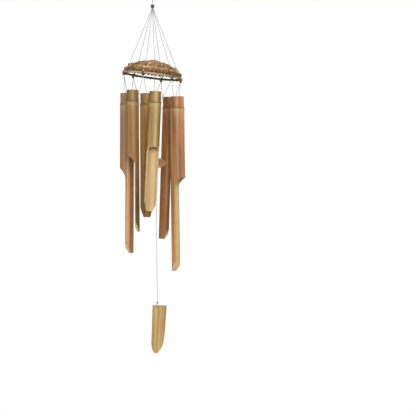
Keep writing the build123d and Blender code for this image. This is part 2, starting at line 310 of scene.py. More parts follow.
def bamboo_skin(
    name, dark, base, light, tint, tint_share, seed, node_z=None, speckle=0.35, lower=None, right_side_shade=None,
):
    """Satin outer skin with long streaks, blotches and, at a node, its scar and pale bloom; it can also carry
    painted light towards the lower end and painted shade on one side.
    """
    m = Material(name, Specular_IOR_Level=0.38, Coat_Weight=0.05, Coat_Roughness=0.3)
    grain, place = m.grain(seed, seed * 0.7, seed * 0.3)
    broad = m.noise(place, 95, ALONG, detail=2.0)
    streak = m.noise(place, 380, (1, 1, 0.02), detail=3.0, roughness=0.6)
    fibre = m.noise(place, 1900, (1, 1, 0.012), detail=2.0)
    blotch = m.noise(place, 42, (1, 1, 0.55), detail=4.0, roughness=0.62)
    colour = m.ramp(broad, [(0.36, dark), (0.50, base), (0.66, light)])
    tinted = m.ramp(blotch, [(0.48, (0, 0, 0)), (0.64, (1, 1, 1))])
    share = m.node("Math", operation="MULTIPLY")
    share.inputs[1].default_value = tint_share
    m.join(tinted, share.inputs[0])
    colour = m.mix(share.outputs[0], colour, tint)
    colour = m.times(colour, streak, [(0.33, (0.66, 0.62, 0.56)), (0.67, (1.25, 1.28, 1.3))], 0.6)
    colour = m.times(colour, fibre, [(0.35, (0.8, 0.78, 0.74)), (0.65, (1.15, 1.15, 1.15))], 0.35)
    specks = m.noise(place, 260, (1, 1, 0.3), detail=5.0, roughness=0.75)
    colour = m.mix(
        m.ramp(specks, [(0.63, (0, 0, 0)), (0.72, (speckle,) * 3)]),
        colour, tuple(0.42 * c for c in dark),
    )
    height = m.node("Math", operation="ADD")
    m.join(streak, height.inputs[0])
    m.join(fibre, height.inputs[1])
    apart = m.node("SeparateXYZ")
    m.join(grain, apart.inputs[0])
    # Towards the lower end the colour is multiplied by lower: painted light where it brightens, as on tube
    # 4's tongue, and a darker lower end where it darkens.
    if lower:
        fall = m.range(apart.outputs["Z"], -0.19, -0.09)
        colour = m.times(colour, fall, [(0, tuple(c / 2 for c in lower)), (1, (0.5,) * 3)])
        colour = m.mix(1.0, colour, (2.0,) * 3, "MULTIPLY")
    # Painted shade: the colour is darkened across the piece's own +y side, which faces right on the sail.
    if right_side_shade:
        share = m.range(apart.outputs["Y"], 2 * MM, 10 * MM)
        colour = m.times(colour, share, [(0, (1,) * 3), (1, right_side_shade)])
    if node_z is not None:
        waver = m.noise(place, 120, detail=2.0)
        z = m.node("Math", operation="MULTIPLY_ADD")
        z.inputs[1].default_value = 2.4 * MM
        m.join(waver, z.inputs[0])
        m.join(apart.outputs["Z"], z.inputs[2])
        band = m.range(z.outputs[0], node_z - 22 * MM, node_z + 26 * MM)
        bloom = m.ramp(band, [
            (0.0, (0, 0, 0)), (0.30, (0.12,) * 3), (0.40, (0.42,) * 3), (0.45, (0.5,) * 3),
            (0.47, (0.0,) * 3), (1.0, (0.0,) * 3),
        ])
        colour = m.mix(bloom, colour, tuple(0.5 * a + 0.5 * b for a, b in zip(light, (0.58, 0.46, 0.24))))
        dashes = m.noise(place, 330, (1, 1, 2.2), detail=3.0, roughness=0.7)
        near = m.ramp(band, [(0.36, (0, 0, 0)), (0.43, (0.9,) * 3), (0.56, (0.75,) * 3), (0.68, (0, 0, 0))])
        dashed = m.mix(1.0, near, m.ramp(dashes, [(0.52, (0, 0, 0)), (0.62, (0.85,) * 3)]), "MULTIPLY")
        colour = m.mix(dashed, colour, tuple(0.5 * c for c in dark))
        scar = m.ramp(band, [
            (0.0, (0, 0, 0)), (0.452, (0, 0, 0)), (0.466, (0.72,) * 3), (0.482, (0.2,) * 3),
            (0.51, (0.38,) * 3), (0.54, (0.08,) * 3), (1.0, (0.1,) * 3),
        ])
        colour = m.mix(scar, colour, tuple(0.45 * c for c in dark))
    rough = m.range(blotch, 0.3, 0.7, 0.33, 0.52)
    normal = m.bump(height.outputs[0], 0.12 * MM, 0.55)
    return m.finish(colour, rough, normal)


def bamboo_inside(name, base, seed, bore=None):
    """The pale, fibrous inner wall, with painted shade that darkens it between the two heights of its bore.
    """
    m = Material(name, Specular_IOR_Level=0.35)
    grain, place = m.grain(seed, seed * 0.4, seed * 0.9)
    broad = m.noise(place, 150, ALONG, detail=3.0)
    fibre = m.noise(place, 1500, (1, 1, 0.012), detail=3.0, roughness=0.6)
    stain = m.noise(place, 60, (1, 1, 0.3), detail=4.0)
    dark = tuple(0.76 * c for c in base)
    light = tuple(min(1.0, 1.13 * c) for c in base)
    colour = m.ramp(broad, [(0.32, dark), (0.5, base), (0.68, light)])
    colour = m.times(colour, fibre, [(0.3, (0.78, 0.74, 0.66)), (0.7, (1.15, 1.16, 1.18))], 0.45)
    colour = m.spots(colour, stain, [(0.56, (0, 0, 0)), (0.74, (0.4,) * 3)], (0.40, 0.24, 0.10))
    # Painted shade: the inner wall is darkened inside the bore, from 7 mm under the scoop's top up to the
    # node.
    if bore:
        apart = m.node("SeparateXYZ")
        m.join(grain, apart.inputs[0])
        up = m.range(apart.outputs["Z"], *bore)
        shade = m.ramp(up, [
            (0, (1,) * 3), (0.09, (0.42, 0.36, 0.30)), (0.97, (0.35, 0.3, 0.25)), (1, (1,) * 3),
        ])
        colour = m.mix(1.0, colour, shade, "MULTIPLY")
    rough = m.range(stain, 0.3, 0.7, 0.55, 0.74)
    return m.finish(colour, rough, m.bump(fibre, 0.15 * MM, 0.6))


def bamboo_cut(name, base, seed):
    """Sawn wall: pale and mottled, with the dark dots of the bundles."""
    m = Material(name, Specular_IOR_Level=0.3)
    _, place = m.grain(seed, seed, seed)
    dots = m.node("TexVoronoi", feature="F1")
    dots.inputs["Scale"].default_value = 1500
    m.join(m.scaled(place, (1, 1, 0.25)), dots.inputs["Vector"])
    mottle = m.noise(place, 400, (1, 1, 0.4), detail=4.0)
    colour = m.ramp(mottle, [(0.3, tuple(0.72 * c for c in base)), (0.7, tuple(1.08 * c for c in base))])
    bundles = [(0.12, (0.75,) * 3), (0.3, (0, 0, 0))]
    colour = m.spots(colour, dots.outputs["Distance"], bundles, (0.22, 0.12, 0.05))
    rough = m.range(mottle, 0.3, 0.7, 0.6, 0.8)
    return m.finish(colour, rough, m.bump(mottle, 0.2 * MM, 0.5))


def rattan(name, stops, seed, gloss=0.42, scale=1.0):
    """Cane strands: each strand has a tone of its own, with fine lengthwise lines."""
    m = Material(name, Specular_IOR_Level=0.5)
    _, place = m.grain(seed, seed * 0.5, seed * 0.2)
    tone = m.attribute("tone").outputs["Fac"]
    mottle = m.noise(place, 160 * scale, detail=4.0, roughness=0.6)
    fine = m.noise(place, 1300 * scale, detail=3.0, roughness=0.65)
    shift = m.node("Math", operation="MULTIPLY_ADD")
    shift.inputs[1].default_value = 0.42
    m.join(mottle, shift.inputs[0])
    m.join(tone, shift.inputs[2])
    level = m.node("Math", operation="SUBTRACT")
    level.inputs[1].default_value = 0.21
    m.join(shift.outputs[0], level.inputs[0])
    colour = m.ramp(level.outputs[0], stops)
    colour = m.times(colour, fine, [(0.32, (0.66, 0.6, 0.54)), (0.68, (1.2, 1.2, 1.2))], 0.55)
    rough = m.range(mottle, 0.3, 0.7, gloss - 0.08, gloss + 0.16)
    return m.finish(colour, rough, m.bump(fine, 0.12 * MM, 0.7))


CANE_STOPS = [
    (0.0, (0.070, 0.035, 0.010)), (0.25, (0.20, 0.105, 0.032)), (0.5, (0.38, 0.215, 0.075)),
    (0.75, (0.50, 0.29, 0.120)), (1.0, (0.68, 0.47, 0.21)),
]
HOOP_STOPS = [
    (0.0, (0.05, 0.03, 0.014)), (0.35, (0.12, 0.075, 0.035)), (0.7, (0.27, 0.195, 0.10)),
    (1.0, (0.43, 0.335, 0.20)),
]
KNOT_STOPS = [
    (0.0, (0.012, 0.009, 0.006)), (0.5, (0.045, 0.032, 0.022)), (1.0, (0.12, 0.09, 0.065)),
]
cane = rattan("rattan_strands", CANE_STOPS, 0.0)
hoop_cane = rattan("hoop_cane", HOOP_STOPS, 1.3, gloss=0.5)
knot_cord = rattan("knot_cord", KNOT_STOPS, 2.1, gloss=0.5, scale=3.0)


def nylon_line():
    """Clear monofilament, a little milky and finely drawn lengthwise."""
    m = Material("nylon_line", Specular_IOR_Level=0.35, Transmission_Weight=0.2, IOR=1.5)
    place = m.node("TexCoord").outputs["Object"]
    cloud = m.noise(place, 260, detail=3.0)
    fine = m.noise(place, 2600, (1, 1, 0.1), detail=2.0)
    colour = m.ramp(cloud, [(0.3, (0.26, 0.27, 0.30)), (0.7, (0.38, 0.39, 0.42))])
    rough = m.range(fine, 0.3, 0.7, 0.16, 0.34)
    return m.finish(colour, rough, m.bump(fine, 0.03 * MM, 0.4))


def ring_steel():
    """Zinc-plated wire with fine drawn scratches and dull patches."""
    m = Material("ring_steel", Metallic=1.0)
    place = m.node("TexCoord").outputs["Object"]
    patch = m.noise(place, 320, detail=4.0)
    scratch = m.noise(place, 2400, (0.3, 1, 0.3), detail=4.0, roughness=0.7)
    colour = m.ramp(patch, [(0.3, (0.44, 0.44, 0.45)), (0.7, (0.66, 0.66, 0.67))])
    colour = m.spots(colour, scratch, [(0.6, (0, 0, 0)), (0.75, (0.5,) * 3)], (0.28, 0.27, 0.26))
    rough = m.range(scratch, 0.3, 0.7, 0.22, 0.5)
    return m.finish(colour, rough, m.bump(scratch, 0.04 * MM, 0.5))


def clapper_wood():
    """Pinkish brown wood with growth rings across the disc and dark pores."""
    m = Material("clapper_wood", Specular_IOR_Level=0.4)
    grain = m.attribute("grain").outputs["Vector"]
    warp = m.noise(grain, 45, detail=2.0)
    shifted = m.node("VectorMath", operation="ADD")
    m.join(grain, shifted.inputs[0])
    turned = m.node("VectorMath", operation="SCALE")
    turned.inputs["Scale"].default_value = 5 * MM
    m.join(warp, turned.inputs[0])
    m.join(turned.outputs[0], shifted.inputs[1])
    rings = m.node("TexWave", wave_type="BANDS", bands_direction="X")
    rings.inputs["Scale"].default_value = 110
    rings.inputs["Distortion"].default_value = 3.5
    rings.inputs["Detail"].default_value = 3.0
    rings.inputs["Detail Scale"].default_value = 1.5
    m.join(shifted.outputs[0], rings.inputs["Vector"])
    pores = m.noise(grain, 1400, (1, 0.12, 1), detail=3.0, roughness=0.7)
    mottle = m.noise(grain, 70, detail=3.0)
    colour = m.ramp(rings.outputs["Fac"], [
        (0.1, (0.33, 0.14, 0.055)), (0.6, (0.47, 0.225, 0.09)), (1.0, (0.55, 0.30, 0.13)),
    ])
    colour = m.times(colour, mottle, [(0.3, (0.72, 0.66, 0.62)), (0.7, (1.15, 1.12, 1.1))], 0.5)
    colour = m.spots(colour, pores, [(0.6, (0, 0, 0)), (0.72, (0.6,) * 3)], (0.10, 0.045, 0.022))
    rough = m.range(mottle, 0.3, 0.7, 0.42, 0.6)
    return m.finish(colour, rough, m.bump(pores, 0.15 * MM, 0.6))


line_nylon = nylon_line()

# ---------------------------------------------------------------- lines

LINE_BEND = 6.2 * MM


def smooth_line(points):
    spline_data = bpy.data.curves.new("route", "CURVE")
    spline_data.dimensions = "3D"
    spline_data.resolution_u = 16
    spline = spline_data.splines.new("NURBS")
    spline.points.add(len(points) - 1)
    for point, place in zip(spline.points, points):
        point.co = (*place, 1)
    spline.order_u = 3
    spline.use_endpoint_u = True
    return spline_data


def nylon_piece(name, points, body):
    """A nylon line along a smooth route, standing for its CAD node."""
    data = smooth_line(points)
    data.bevel_depth = LINE_D / 2
    data.bevel_resolution = 3
    data.use_fill_caps = True
    data.materials.append(line_nylon)
    piece = bpy.data.objects.new(name + "_nylon", data)
    link(piece)
    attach(piece, body)
    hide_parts(name)
    return piece


def nylon(name, points, body):
    """A nylon line, drawn as nylon_piece draws it."""
    nylon_piece(name, points, body)


def toward(start, end, distance):
    return start + (end - start).normalized() * distance


rim_knots_at = [on_cap(HOOP_R, a, -RIM_KNOT_DROP) for a in LINE_ANGLES]
landings = [on_cap(LANDING_R, a, dome_height(LANDING_R)) for a in LINE_ANGLES]

RING_R = 13.5 * MM
LOOP_R = 2.5 * MM
LOOP_TOP = 2.9 * MM
loop_end_z = gather.z + sqrt((GATHER_KNOT_R + KNOT_GAP) ** 2 - LOOP_R**2)
hanger_route = [
    Vector((0, y * LOOP_R, z))
    for y, z in (
        (-1, loop_end_z), (-1, -RING_R - LINE_BEND), (-1, -RING_R), (-1, LOOP_TOP - RING_R),
        (1, LOOP_TOP - RING_R), (1, -RING_R), (1, -RING_R - LINE_BEND), (1, loop_end_z),
    )
]
nylon("hanger_loop", hanger_route, "loop")

for n, angle in enumerate(LINE_ANGLES):
    landing = landings[n]
    inside_hoop = on_cap(HOOP_INSIDE_R, angle, HOOP_INSIDE_LIFT)
    start = toward(gather, landing, GATHER_KNOT_R + KNOT_GAP)
    end = toward(rim_knots_at[n], inside_hoop, RIM_KNOT_R)
    before = toward(landing, gather, (inside_hoop - landing).length)
    route = [start, before, landing, inside_hoop, end]
    nylon(f"suspension_line_{n + 1}", route, "canopy")


def straight(name, start, end, body):
    nylon(name, [start, (start + end) / 2, end], body)


CROWN_KNOT_R = 2.6 * MM
CLAPPER_KNOT_R = 2.6 * MM
SAIL_KNOT_R = 1.6 * MM
clapper_knot = middle("clapper_knot")
sail_knot = middle("sail_knot")
straight(
    "centre_line", toward(gather, crown, GATHER_KNOT_R + KNOT_GAP),
    toward(crown, gather, CROWN_KNOT_R + KNOT_GAP), "canopy",
)
straight(
    "clapper_line", toward(crown, clapper_knot, CROWN_KNOT_R + KNOT_GAP),
    toward(clapper_knot, crown, CLAPPER_KNOT_R), "clapper_line",
)
straight(
    "sail_line", toward(clapper_knot, sail_knot, CLAPPER_KNOT_R + KNOT_GAP),
    toward(sail_knot, clapper_knot, SAIL_KNOT_R + KNOT_GAP), "sail_line",
)

# Tubes
TUBE_WALL = 3.0 * MM
TUBE_HOLE_R = 1.15 * MM
NODE_Z = -9.0 * MM  # below the lacing holes
NODE_RIDGE = 0.6 * MM
NODE_PLATE_T = 3.0 * MM
NECK_STEP = 0.7 * MM
STOPPER_R = 1.8 * MM
STOPPER_GAP = 0.4 * MM
LACING_REACH = 2.8 * MM
stoppers = []
for n, seat in enumerate(seats):
    neck = seat.widest - NODE_RIDGE - NECK_STEP
    stopper = sqrt((neck - TUBE_WALL - STOPPER_R - STOPPER_GAP) ** 2 - seat.axis_x**2)
    for hand, side in ((-1, "right"), (1, "left")):
        knot = rim_knots_at[(n + (hand < 0)) % 6]
        turn_in = seat.outward((0, hand * (neck + LACING_REACH), 0))
        inside = seat.outward((0, hand * (stopper + STOPPER_R), 0))
        start = toward(knot, turn_in, RIM_KNOT_R + KNOT_GAP)
        before = toward(turn_in, knot, (inside - turn_in).length)
        nylon(f"tube_{n + 1}_line_{side}", [start, before, turn_in, inside], f"tube_{n + 1}_lines")
        stoppers.append((n, seat.outward((0, hand * stopper, 0))))

# ---------------------------------------------------------------- shapes


class Shape:
    """Vertices and faces being gathered for one piece. Each vertex has a place in the grain
    of its material and a tone, and each face the index of its material."""

    def __init__(self):
        self.places = []
        self.grains = []
        self.tones = []
        self.faces = []
        self.kinds = []

    def point(self, place, grain=None, tone=0.5):
        self.places.append(Vector(place))
        self.grains.append(Vector(place if grain is None else grain))
        self.tones.append(tone)
        return len(self.places) - 1

    def face(self, corners, kind=0):
        if len(set(corners)) > 2:
            self.faces.append(tuple(corners))
            self.kinds.append(kind)

    def between(self, first, second, kind=0, closed=False):
        """Faces between two rows of vertices."""
        count = len(first)
        for i in range(count if closed else count - 1):
            j = (i + 1) % count
            self.face((first[i], first[j], second[j], second[i]), kind)

    def cap(self, row, kind=0, flip=False):
        self.face(tuple(reversed(row)) if flip else tuple(row), kind)

    def piece(self, name, materials, body, stands_for, slot, sharp=35.0):
        mesh = bpy.data.meshes.new(name)
        mesh.from_pydata(self.places, [], self.faces)
        for material in materials:
            mesh.materials.append(material)
        mesh.polygons.foreach_set("material_index", self.kinds)
        grain = mesh.attributes.new("grain", "FLOAT_VECTOR", "POINT")
        grain.data.foreach_set("vector", [x for g in self.grains for x in g])
        tone = mesh.attributes.new("tone", "FLOAT", "POINT")
        tone.data.foreach_set("value", self.tones)
        mesh.polygons.foreach_set("use_smooth", [True] * len(mesh.polygons))
        mesh.set_sharp_from_angle(angle=radians(sharp))
        mesh.validate()
        made = bpy.data.objects.new(name, mesh)
        link(made)
        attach(made, body)
        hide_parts(*stands_for)
        return made


GRAIN_ALONG = 0.2  # a strand's grain is five times as long as it is wide


def strand(shape, path, widths, thicks=None, normals=None, tone=0.5, closed=False, sides=8, kind=0):
    """A strand along a path, round or flat: widths lie across it and thicks along its normals."""
    count = len(path)
    thicks = thicks or widths
    apart = Vector((random.uniform(0, 5), random.uniform(0, 5), random.uniform(0, 5)))
    rows = []
    run = 0.0
    last = None
    for i, here in enumerate(path):
        ahead = path[(i + 1) % count] if closed or i + 1 < count else here
        behind = path[i - 1] if closed or i > 0 else here
        along = (ahead - behind).normalized()
        if normals:
            up = normals[i]
        elif last is None:
            up = along.orthogonal()
        else:
            up = last
        up = (up - along * (up @ along)).normalized()
        last = up
        side = along.cross(up)
        run += (here - path[i - 1]).length if i else 0.0
        row = []
        for k in range(sides):
            turn = 2 * pi * k / sides
            across = side * (cos(turn) * widths[i] / 2) + up * (sin(turn) * thicks[i] / 2)
            grain = apart + Vector((cos(turn) * widths[i] / 2, sin(turn) * thicks[i] / 2, run * GRAIN_ALONG))
            row.append(shape.point(here + across, grain, tone))
        rows.append(row)
    for first, second in zip(rows, rows[1:]):
        shape.between(first, second, kind, closed=True)
    if closed:
        if normals:
            shape.between(rows[-1], rows[0], kind, closed=True)
        else:  # the frame has turned on its way round, so the last row is matched to the first
            start = shape.places[rows[0][0]]
            near = min(range(sides), key=lambda k: (shape.places[rows[-1][k]] - start).length)
            shape.between(rows[-1][near:] + rows[-1][:near], rows[0], kind, closed=True)
    else:
        shape.cap(rows[0], kind, flip=False)
        shape.cap(rows[-1], kind, flip=True)
    return rows


def tapered(count, size, share=0.35, reach=3):
    """Sizes along a strand that narrows at both ends."""
    return [size * min(1.0, share + (1 - share) * min(i, count - 1 - i) / reach) for i in range(count)]


def frame_of(axis):
    axis = Vector(axis).normalized()
    side = axis.orthogonal().normalized()
    return side, axis.cross(side), axis


def tied_knot(shape, centre, axis, radius, tone=0.5, tails=2, kind=0):
    """An overhand knot drawn tight, with cut tails."""
    side, across, up = frame_of(axis)
    spin = random.uniform(0, 2 * pi)
    steps = 48
    path = []
    for i in range(steps):
        t = 2 * pi * i / steps
        reach = radius * (0.52 + 0.27 * cos(3 * t))
        flat = side * cos(2 * t + spin) + across * sin(2 * t + spin)
        path.append(centre + flat * reach + up * (radius * 0.42 * sin(3 * t)))
    width = radius * 0.66
    strand(shape, path, [width] * steps, tone=tone, closed=True, sides=8, kind=kind)
    for k in range(tails):
        turn = spin + pi * k + random.uniform(-0.5, 0.5)
        out = side * cos(turn) + across * sin(turn)
        lift = random.uniform(-0.5, 0.7)
        tail = [centre + out * radius * s + up * radius * lift * s * s for s in (0.3, 0.8, 1.25, 1.6)]
        strand(shape, tail, [width * 0.75] * 4, tone=tone + 0.1, sides=6, kind=kind)


def winding(shape, centre, axis, radius, pitch, turns, width, tone=0.5, start=0.0, kind=0):
    """A few turns of cord round an axis."""
    side, across, up = frame_of(axis)
    steps = int(18 * turns) + 1
    path = []
    for i in range(steps):
        t = i / (steps - 1)
        turn = start + 2 * pi * turns * t
        lift = pitch * turns * (t - 0.5)
        path.append(centre + (side * cos(turn) + across * sin(turn)) * radius + up * lift)
    strand(shape, path, [width] * steps, tone=tone, sides=8, kind=kind)


# ---------------------------------------------------------------- hanging ring and knots

random.seed(11)

RING_WIRE_D = 3.0 * MM
WELD_SWELL = 0.35 * MM
WELD_SPAN = 0.09  # radians, half the weld's length

ring = Shape()
ring_path = []
ring_widths = []
RING_STEPS = 120
for i in range(RING_STEPS):
    turn = 2 * pi * i / RING_STEPS
    off_top = min(turn, 2 * pi - turn)
    ring_path.append(Vector((RING_R * sin(turn), 0, RING_R * cos(turn))))
    swell = WELD_SWELL * max(0.0, 1 - (off_top / WELD_SPAN) ** 2)
    ring_widths.append(RING_WIRE_D + swell * (1 + 0.3 * sin(turn * 90)))
ring_normals = [p.normalized() for p in ring_path]
strand(ring, ring_path, ring_widths, normals=ring_normals, closed=True, sides=20)
ring.piece("hanging_ring", [ring_steel()], "ring", ["hanger_ring"], "steel")

gathering = Shape()
UP = Vector((0, 0, 1))
WINDING_LIFT = 0.8 * MM  # keeps the winding clear of the lines below when the chime sways
winding(gathering, gather + UP * WINDING_LIFT, UP, 2.9 * MM, 1.05 * MM, 5.6, 1.15 * MM, tone=0.75)
for k in range(7):
    turn = 2 * pi * k / 7
    lean = Vector((cos(turn), sin(turn), 0))
    bundle = [
        gather + lean * (1.5 * MM) * (1 + 0.25 * abs(z)) + Vector((0, 0, z * 4.0 * MM))
        for z in (-0.85, -0.4, 0.4, 1)
    ]
    strand(gathering, bundle, [1.05 * MM] * 4, tone=0.7, sides=6)
for k in range(3):
    out = Vector((cos(2.1 * k + 0.4), sin(2.1 * k + 0.4), 0.5))
    tail = [gather + out * s * MM + Vector((0, 0, 2.2 * MM)) for s in (1.5, 2.8, 4.0, 5.0)]
    strand(gathering, tail, [0.8 * MM] * 4, tone=0.9, sides=6)
gathering.piece("gather_knot_wound", [knot_cord], "gather", ["gather_knot"], "knots")

DOME_KNOT_R = 1.9 * MM
over_dome = Shape()
for place, angle in zip(landings, LINE_ANGLES):
    out = dome_normal(LANDING_R, angle)
    tied_knot(over_dome, place + out * 0.8 * MM, out, DOME_KNOT_R, tone=0.55)
    winding(
        over_dome, place + out * 2.2 * MM, gather - place, 0.8 * MM, 0.7 * MM, 2.5, 0.7 * MM, tone=0.6,
    )
over_dome.piece("dome_knots_tied", [knot_cord], "canopy", ["dome_knots"], "knots")

under_rim = Shape()
for place, angle in zip(rim_knots_at, LINE_ANGLES):
    tied_knot(under_rim, place, cap_up, RIM_KNOT_R * 1.12, tone=0.3)
    a = radians(angle)
    along_hoop = cap_back * cos(a) - cap_across * sin(a)
    winding(
        under_rim, on_cap(HOOP_R, angle, 0), along_hoop, HOOP_D / 2 + 0.75 * MM, 1.0 * MM, 3, 1.0 * MM,
        tone=0.35,
    )
under_rim.piece("rim_knots_tied", [knot_cord], "canopy", ["rim_knots"], "knots")

crown_tie = Shape()
tied_knot(crown_tie, crown, cap_up, CROWN_KNOT_R, tone=0.5)
crown_tie.piece("crown_knot_tied", [knot_cord], "crown_knot", ["crown_knot"], "knots")

clapper_tie = Shape()
tied_knot(clapper_tie, clapper_knot, (0, 0, 1), CLAPPER_KNOT_R, tone=0.5)
clapper_tie.piece("clapper_knot_tied", [knot_cord], "clapper_line", ["clapper_knot"], "knots")

sail_tie = Shape()
tied_knot(sail_tie, sail_knot, (0, 0, 1), SAIL_KNOT_R, tone=0.3)
winding(sail_tie, sail_knot - Vector((0, 0, 1.8 * MM)), (0, 0, 1), 0.9 * MM, 0.8 * MM, 3, 0.8 * MM, tone=0.3)
sail_tie.piece("sail_knot_tied", [knot_cord], "sail_loop", ["sail_knot"], "knots")

for n, seat in enumerate(seats):
    inner = Shape()
    for owner, place in stoppers:
        if owner == n:
            tied_knot(inner, place, seat.y, STOPPER_R, tone=0.55)
    tube = f"tube_{n + 1}"
    inner.piece(tube + "_stoppers_tied", [knot_cord], tube + "_lines", [tube + "_stopper_knots"], "knots")

# ---------------------------------------------------------------- cap

BUNDLES = 24
BUNDLE_START = 6.5  # degrees, so that every line passes between two bundles
BUNDLE_STEP = 360 / BUNDLES
CROWN_RING_R = 7.0 * MM
CROWN_RING_D = 3.0 * MM
CROWN_RING_REST = 0.2 * MM
TWINE_RADII = [11 * MM, 21 * MM, 32.5 * MM, 45.5 * MM, 56.8 * MM]
SWIRL = 26.0  # degrees that the strands turn on their way from the crown to the hoop


def wander(seed, at, size):
    """A smooth random shift, the same each time."""
    return size * noise.noise(Vector((seed * 7.31, at, seed * 1.7)))


def on_dome(radius, angle, lift):
    return on_cap(radius, angle, dome_height(radius)) + dome_normal(radius, angle) * lift


def twine_wave(radius, angle):
    """How far a strand is pushed up or down where a twined row passes over or under it."""
    push = 0.0
    for row, twine in enumerate(TWINE_RADII):
        near = max(0.0, 1 - abs(radius - twine) / (3.5 * MM))
        push += near * (0.5 if (row + round((angle - BUNDLE_START) / BUNDLE_STEP)) % 2 else -0.5)
    return push * MM


woven = Shape()


def lay_strand(steps, widths, thicks, tone, closed=False):
    """A strand of the cap, along steps of radius, angle and lift over the dome."""
    path = [on_dome(*step) for step in steps]
    normals = [dome_normal(radius, angle) for radius, angle, _ in steps]
    strand(woven, path, widths, thicks, normals, tone, closed)


STRANDS = [  # place in the bundle, where it starts, lift, width
    (0.0, 6.8, 0.2, 3.0), (-0.21, 14.0, -0.3, 2.7), (0.2, 19.0, -0.2, 2.8),
    (-0.4, 29.0, -0.6, 2.9), (0.42, 34.0, -0.5, 2.8),
]
RADIAL_STEPS = 34
for bundle in range(BUNDLES):
    for share, start, lift, width in STRANDS:
        seed = bundle * 5 + share * 3
        width *= MM * random.uniform(0.85, 1.25)
        start = start * MM + random.uniform(-1.5, 1.5) * MM
        reaches = share == 0 and bundle % 4 == 0
        steepest = radians(88 if reaches else random.uniform(73, 79))
        shallowest = asin(start / DOME_R)
        tone = min(1.0, max(0.08, random.gauss(0.62, 0.22)))
        slant = random.gauss(0, 6.5)
        steps = []
        for i in range(RADIAL_STEPS):
            t = i / (RADIAL_STEPS - 1)
            radius = DOME_R * sin(shallowest + (steepest - shallowest) * t)
            spread = share * BUNDLE_STEP
            angle = BUNDLE_START + bundle * BUNDLE_STEP + spread + slant * t
            angle += SWIRL * (1 - radius / DOME_R) ** 1.4
            angle += wander(seed, radius * 55, 3.2)
            rise = lift * MM + wander(seed + 40, radius * 70, 0.7 * MM) + twine_wave(radius, angle)
            steps.append((radius, angle, rise - 0.9 * MM))
        count = len(steps)
        lay_strand(steps, tapered(count, width, 0.55), tapered(count, width * 0.52, 0.55), tone)

LINING = 46
for k in range(LINING):
    steps = []
    tone = random.uniform(0.2, 0.5)
    for i in range(20):
        t = i / 19
        radius = DOME_R * sin(radians(8 + 65 * t))
        angle = 360 * k / LINING - 42 * t
        steps.append((radius, angle, -2.5 * MM + wander(k, radius * 60, 0.5 * MM)))
    width = random.uniform(8.2, 9.4) * MM
    lay_strand(steps, [width * (0.25 + 0.75 * i / 19) for i in range(20)], [0.7 * MM] * 20, tone)

TWINE_STEPS = BUNDLES * 8
for row, radius in enumerate(TWINE_RADII):
    for ply in (0, 1):
        steps = []
        for i in range(TWINE_STEPS):
            turn = 360 * i / TWINE_STEPS
            phase = radians((turn - BUNDLE_START) * BUNDLES / 2 + 180 * ply + 90 * row)
            here = radius + 0.75 * MM * sin(phase) + wander(row + 9 * ply, turn / 40, 0.5 * MM)
            steps.append((here, turn, 0.15 * MM + 1.15 * MM * cos(phase)))
        tone = 0.45 + 0.2 * ply - 0.08 * row
        size = (1.25 + 0.12 * row) * MM
        lay_strand(steps, [size] * TWINE_STEPS, [size * 0.8] * TWINE_STEPS, tone, closed=True)

coil = []
coil_normals = []
COIL_TURNS = 3.2
for i in range(72):
    t = i / 71
    radius = (2.6 + 4.6 * t) * MM
    coil.append(on_dome(radius, 360 * COIL_TURNS * t, -0.9 * MM))
    coil_normals.append(cap_up)
strand(woven, coil, [1.7 * MM] * 72, [1.3 * MM] * 72, coil_normals, tone=0.6)
woven.piece("woven_cap", [cane], "canopy", ["cap_weave", "cap_spokes"], "rattan")

wrapped_ring = Shape()
ring_lift = dome_height(CROWN_RING_R) + CROWN_RING_D / 2 + CROWN_RING_REST
core = [on_cap(CROWN_RING_R, 360 * i / 60, ring_lift) for i in range(60)]
strand(wrapped_ring, core, [CROWN_RING_D * 0.78] * 60, normals=[cap_up] * 60, tone=0.4, closed=True, sides=12)
WRAPS = 26
wrap_path = []
wrap_normals = []
for i in range(WRAPS * 12):
    turn = 360 * i / (WRAPS * 12)
    roll = 2 * pi * i / 12
    out = CROWN_RING_D * 0.44
    here = on_cap(CROWN_RING_R + out * cos(roll), turn, ring_lift + out * sin(roll))
    wrap_path.append(here)
    wrap_normals.append((here - on_cap(CROWN_RING_R, turn, ring_lift)).normalized())
strand(
    wrapped_ring, wrap_path, [1.5 * MM] * len(wrap_path), [0.55 * MM] * len(wrap_path),
    wrap_normals, tone=0.62, closed=True, sides=6,
)
wrapped_ring.piece("crown_ring_wrapped", [cane], "canopy", ["crown_ring"], "rattan")

# The hoop is split cane: pale skin outside, dark inside, and lapped with bindings.
hoop = Shape()
HOOP_STEPS = 200
HOOP_SIDES = 18
rows = []
for i in range(HOOP_STEPS):
    turn = 360 * i / HOOP_STEPS
    row = []
    for k in range(HOOP_SIDES):
        roll = 2 * pi * k / HOOP_SIDES
        rough = noise.noise(Vector((cos(radians(turn)) * 9, sin(radians(turn)) * 9, roll * 0.6)))
        out = HOOP_D / 2 * (0.93 + 0.10 * rough)
        place = on_cap(HOOP_R + out * cos(roll) * 0.92, turn, out * sin(roll) * 1.04)
        grain = Vector((
            cos(roll) * 2.2 * MM, sin(roll) * 2.2 * MM + 0.1 * sin(radians(turn)),
            radians(turn) * HOOP_R * GRAIN_ALONG,
        ))
        skin = 0.5 + 0.5 * cos(roll - 0.2)
        row.append(hoop.point(place, grain, 0.08 + 0.85 * skin**1.1))
    rows.append(row)
for i in range(HOOP_STEPS):
    hoop.between(rows[i], rows[(i + 1) % HOOP_STEPS], closed=True)
hoop.piece("hoop_split_cane", [hoop_cane], "canopy", ["rim_hoop"], "hoop_cane")

